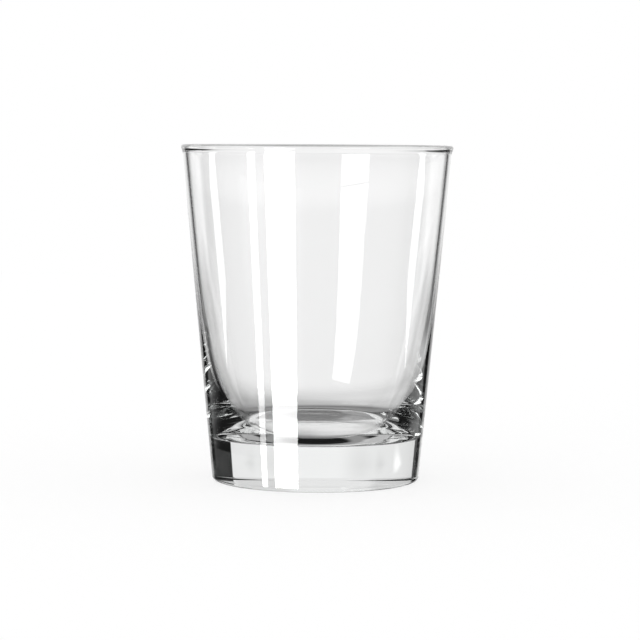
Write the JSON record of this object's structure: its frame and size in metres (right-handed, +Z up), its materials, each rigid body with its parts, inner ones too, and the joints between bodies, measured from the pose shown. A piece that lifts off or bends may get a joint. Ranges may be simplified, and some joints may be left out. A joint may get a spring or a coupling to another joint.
{
  "type": "double old fashioned glass",
  "caption": "Clear straight-sided drinking glass that widens upwards, with a thick solid base, a bowl-shaped inside and a rounded rim, for drinks served over ice.",
  "frame": {"origin": "centre of the underside, on the plane that the glass stands on", "axes": "+Z up along the axis of the glass; the glass is round, so +X and +Y are any two level directions at right angles"},
  "size_m": [0.0874, 0.0874, 0.108],
  "materials": {
    "clear_glass": "fire-polished, clear"
  },
  "bodies": {
    "root": {"tumbler": "clear_glass"}
  },
  "joints": []
}
